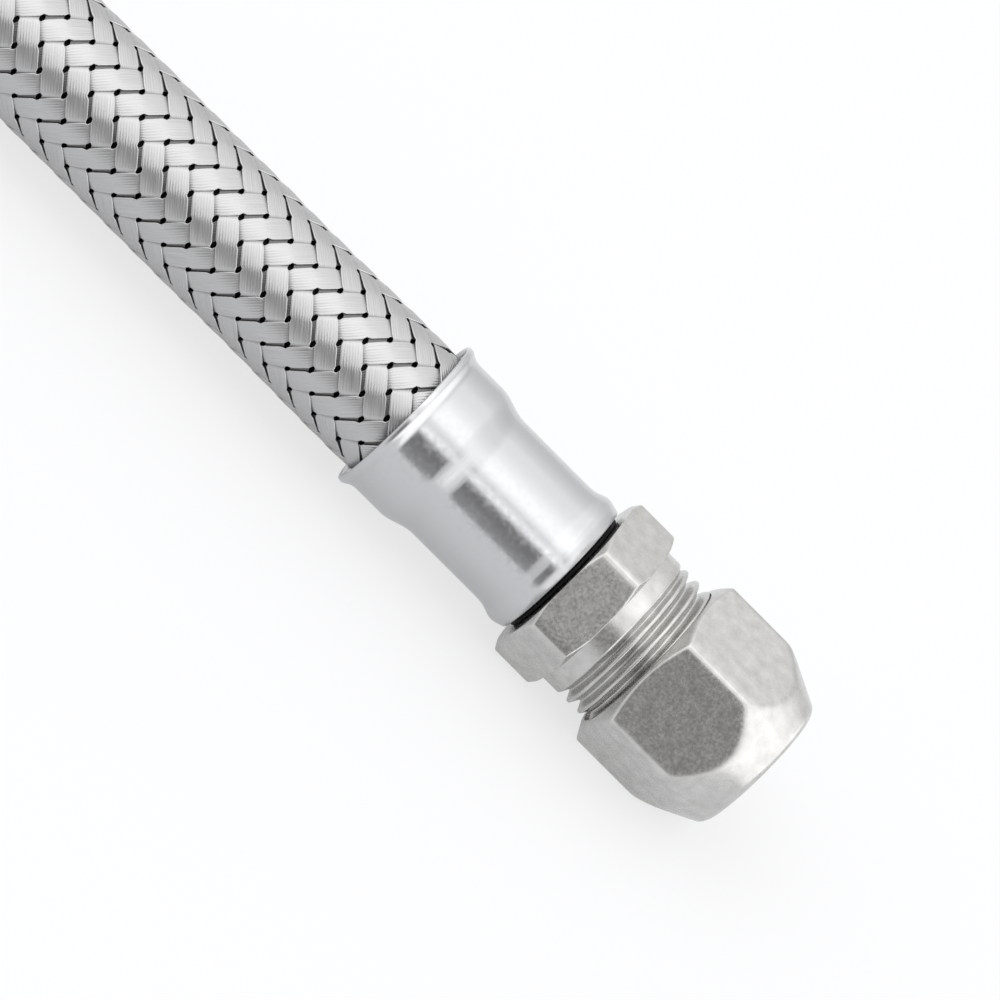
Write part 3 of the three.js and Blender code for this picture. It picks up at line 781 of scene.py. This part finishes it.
def relief(nodes, links, value, distance, shader, strength=1.0):
    """Bumps the surface by a noise value, with the height in metres."""
    bump = nodes.new("ShaderNodeBump")
    bump.inputs["Strength"].default_value = strength
    bump.inputs["Distance"].default_value = distance
    links.new(value, bump.inputs["Height"])
    links.new(bump.outputs["Normal"], shader.inputs["Normal"])


# %% [markdown]
# The braid is bright drawn wire. Its wires are in the mesh already, so the finish adds only what is finer:
# streaks from the drawing die, as noise that runs along each band in its own UV map. Where a band dives under
# another, little light gets in. A shader could look for that with many rays. The weave's own height says it
# at once, so the number kept on each point darkens the dips.

# %% Braid wire
braid_wire, nodes, links, shader = new_finish("drawn_steel_wire", (0.47, 0.47, 0.48), 1.0, 0.32)
streaks = noise(nodes, links, 1.0, (0.25, 6, 1), 4, "UV")
links.new(spread(nodes, links, streaks, 0.26, 0.4), shader.inputs["Roughness"])
bright = spread(nodes, links, streaks, 0.4, 0.57, 0.25, 0.75)
proud = nodes.new("ShaderNodeAttribute")
proud.attribute_name = "proud"
open_to_light = spread(nodes, links, proud.outputs["Fac"], 0.3, 1, 0.15, 0.65, smooth=True)
links.new(arithmetic(nodes, links, "MULTIPLY", bright, open_to_light), shader.inputs["Base Color"])

# %% [markdown]
# The ferrules are polished stainless, which mirrors the room almost sharply. Handling leaves small dull
# spots, and turning leaves faint marks round it. An anisotropic shader would smear all reflections alike. The
# marks are few and shallow, so they are a relief instead, from noise that changes nine times as fast along
# the hose as across it.

# %% Ferrule steel
ferrule_steel, nodes, links, shader = new_finish("polished_stainless", (0.53, 0.535, 0.545), 1.0, 0.15)
marks = noise(nodes, links, 260, (9, 1, 1), 4)
spots = noise(nodes, links, 1500)
links.new(spread(nodes, links, spots, 0.09, 0.27), shader.inputs["Roughness"])
relief(nodes, links, marks, 1.2e-5, shader)

# %% [markdown]
# Nickel over drawn brass bar is satin: a slightly warm grey with a fine grain, and cloudy where the plating
# or a hand has stained it. One fine noise makes the grain and a coarser one the clouds.

# %% Nickel plate
plated_brass, nodes, links, shader = new_finish("satin_nickel_plate", (0.53, 0.525, 0.515), 1.0, 0.27)
grain = noise(nodes, links, 2600)
stains = noise(nodes, links, 650)
tint(nodes, links, stains, (0.475, 0.47, 0.46), (0.58, 0.574, 0.563), shader)
links.new(spread(nodes, links, grain, 0.2, 0.34), shader.inputs["Roughness"])
relief(nodes, links, grain, 6e-6, shader, 0.6)

# %% [markdown]
# The olive is bare brass, yellow and fresh from the lathe, with fine rings round it. They are noise that
# changes fifteen times as fast along the hose.

# %% Bare brass
bare_brass, nodes, links, shader = new_finish("turned_brass", (0.72, 0.49, 0.2), 1.0, 0.25)
rings = noise(nodes, links, 400, (15, 1, 1), 2)
links.new(spread(nodes, links, rings, 0.2, 0.34), shader.inputs["Roughness"])
relief(nodes, links, rings, 4e-6, shader, 0.5)

# %% [markdown]
# Black rubber gives back very little light, and what it does is a dull sheen. A low specular level keeps the
# ring beside the hexagon black under the bright tent, and noise keeps the sheen uneven.

# %% Rubber
black_rubber, nodes, links, shader = new_finish("black_rubber", (0.006, 0.006, 0.006), 0.0, 0.6)
shader.inputs["Specular IOR Level"].default_value = 0.2
skin = noise(nodes, links, 1500)
links.new(spread(nodes, links, skin, 0.5, 0.75), shader.inputs["Roughness"])
relief(nodes, links, skin, 1e-5, shader, 0.5)

# %% [markdown]
# Each piece says which slot it belongs to, and the frame's record says it of each solid. A solid gets the
# finish of the piece that stands for it.

# %% Give every piece and every solid its finish
finishes = {
    "braid_wire": braid_wire,
    "ferrule_steel": ferrule_steel,
    "plated_brass": plated_brass,
    "bare_brass": bare_brass,
    "liner_rubber": black_rubber,
    "washer_rubber": black_rubber,
}
node_slots = {part["node"]: part["material_slot"] for part in frame["record"]["subparts"]}
for name, node in frame["nodes"].items():
    node.data.materials.clear()
    node.data.materials.append(finishes[node_slots[name]])
for piece in [o for o in bpy.context.scene.objects if "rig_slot" in o]:
    piece.data.materials.clear()
    piece.data.materials.append(finishes[piece["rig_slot"]])

# %% [markdown]
# The braided stretch is a stiff hose of a known length: it leaves the compression ferrule's mouth and ends
# in the tap fitting.

print(f"declared {FREE_HOSE / MM:.1f} mm of hose")

# %% [markdown]
# ## The studio
# The hose lies on a white table. A white surface under soft light is never as white as paper in a photograph,
# and brighter lamps would bleach the metal. So most of what the camera sees of the table is an even glow, and
# the rest is its own shade, which keeps a light shadow. In the pieces, which show the table too, less of it
# glows, so that their undersides stay darker.

# %% Floor
HALF_FLOOR = 1.5
BELOW_THE_NUTS = 0.00005
corners = [(-HALF_FLOOR, -HALF_FLOOR, 0), (HALF_FLOOR, -HALF_FLOOR, 0),
           (HALF_FLOOR, HALF_FLOOR, 0), (-HALF_FLOOR, HALF_FLOOR, 0)]
floor_mesh = bpy.data.meshes.new("table_top")
floor_mesh.from_pydata(corners, [], [(0, 1, 2, 3)])
floor = bpy.data.objects.new("table_top", floor_mesh)
floor.location.z = -BELOW_THE_NUTS
bpy.context.scene.collection.objects.link(floor)
print(f"table {2 * HALF_FLOOR:.0f} m wide")

# %% White of the table
WHITE_SHARE = 0.72
WHITE_SHARE_IN_PIECES = 0.45
WHITE_LEVEL = 0.98
white_table, nodes, links, shader = new_finish("white_table", (0.7, 0.715, 0.73), 0.0, 0.9)
shader.inputs["Specular IOR Level"].default_value = 0.1
glow = nodes.new("ShaderNodeEmission")
glow.inputs["Strength"].default_value = WHITE_LEVEL
ray = nodes.new("ShaderNodeLightPath").outputs
in_pieces = arithmetic(nodes, links, "MAXIMUM", ray["Is Glossy Ray"], ray["Is Transmission Ray"])
share_in_pieces = arithmetic(nodes, links, "MULTIPLY", in_pieces, WHITE_SHARE_IN_PIECES)
white_share = arithmetic(nodes, links, "MULTIPLY_ADD", ray["Is Camera Ray"], WHITE_SHARE, share_in_pieces)
table_light = nodes.new("ShaderNodeMixShader")
links.new(white_share, table_light.inputs["Fac"])
links.new(shader.outputs[0], table_light.inputs[1])
links.new(glow.outputs[0], table_light.inputs[2])
links.new(table_light.outputs[0], nodes["Material Output"].inputs["Surface"])
floor_mesh.materials.append(white_table)

# %% [markdown]
# The light is a tent of white cloth, made in the world's background: soft light from all round, with no lamp
# to place. A hoop of cloth runs over the hose, bright overhead, with a dark opening low down where the camera
# stands. Polished cylinders show that opening as a dark stripe along their length, which is what makes them
# read as metal. Two panels close the tent's ends and light the faces that look along the hose.
#
# Each part of the tent is a short list of places and levels. The hoop's places are degrees round the hose,
# from the near side over the top. The others are shares of the way along it, from -1 at the tap's end to 1.

# %% Levels of the tent
OVER_THE_HOSE = [
    (-180, 0.95), (-3, 0.9), (1, 0.5), (9, 0.4), (16, 0.35), (23, 0.3), (31, 0.3), (35.5, 0.4), (39, 1.15),
    (42, 1.68), (46, 1.68), (49.5, 1.4), (52.5, 1.22), (55.5, 1.22), (58.5, 1.4), (63, 1.7), (67, 1.87),
    (78, 1.87), (84, 1.8), (91, 1.66), (98, 1.55), (105, 1.47), (112, 1.41), (128, 1.37), (137, 1.21),
    (147, 1.1), (158, 0.98), (180, 0.88),
]
ALONG_THE_HOSE = [(-1, 0.95), (-0.6, 1.05), (-0.3, 1.1), (-0.15, 1), (0.25, 1), (0.4, 0.9), (1, 0.85)]
END_PANELS = [
    (-1, 0.95), (-0.5, 0.9), (-0.38, 0.8), (-0.28, 0), (0.33, 0), (0.43, 0.8), (0.58, 1.2), (0.7, 1.7),
    (0.8, 1.9), (1, 1.9),
]
BRIGHTEST = 2.0
levels = [level for _, level in OVER_THE_HOSE]
print("the tent's hoop runs from", min(levels), "to", max(levels))


# %% A level that follows its stops
def profile(nodes, links, value, stops):
    """A brightness that follows a list of (place, level) stops, as a share of the brightest."""
    first, last = stops[0][0], stops[-1][0]
    ramp = nodes.new("ShaderNodeValToRGB")
    elements = ramp.color_ramp.elements
    while len(elements) < len(stops):
        elements.new(1.0)
    for element, (place, level) in zip(elements, stops):
        element.position = (place - first) / (last - first)
        element.color = (level / BRIGHTEST,) * 3 + (1,)
    links.new(spread(nodes, links, value, 0, 1, first, last), ramp.inputs["Fac"])
    return ramp.outputs["Color"]


# %% Light tent
world = bpy.data.worlds.new("light_tent")
bpy.context.scene.world = world
world.use_nodes = True
nodes, links = world.node_tree.nodes, world.node_tree.links
nodes.clear()

direction = nodes.new("ShaderNodeTexCoord")
parts = nodes.new("ShaderNodeSeparateXYZ")
links.new(direction.outputs["Generated"], parts.inputs["Vector"])
towards_y = arithmetic(nodes, links, "MULTIPLY", parts.outputs["Y"], -1)
angle_up = arithmetic(nodes, links, "ARCTAN2", parts.outputs["Z"], towards_y)
degrees_up = arithmetic(nodes, links, "MULTIPLY", angle_up, 180 / np.pi)
over = profile(nodes, links, degrees_up, OVER_THE_HOSE)
along = profile(nodes, links, parts.outputs["X"], ALONG_THE_HOSE)
panels = profile(nodes, links, parts.outputs["X"], END_PANELS)
hoop = arithmetic(nodes, links, "MULTIPLY", arithmetic(nodes, links, "MULTIPLY", over, along), BRIGHTEST)
tent = arithmetic(nodes, links, "MAXIMUM", hoop, panels)
background = nodes.new("ShaderNodeBackground")
background.inputs["Color"].default_value = (1, 1, 1, 1)
links.new(arithmetic(nodes, links, "MULTIPLY", tent, BRIGHTEST), background.inputs["Strength"])
output = nodes.new("ShaderNodeOutputWorld")
links.new(background.outputs[0], output.inputs["Surface"])
print("the tent has", len(nodes), "nodes")

# %% [markdown]
# The view keeps colours as they are written.

# %% View
bpy.context.scene.view_settings.view_transform = "Standard"
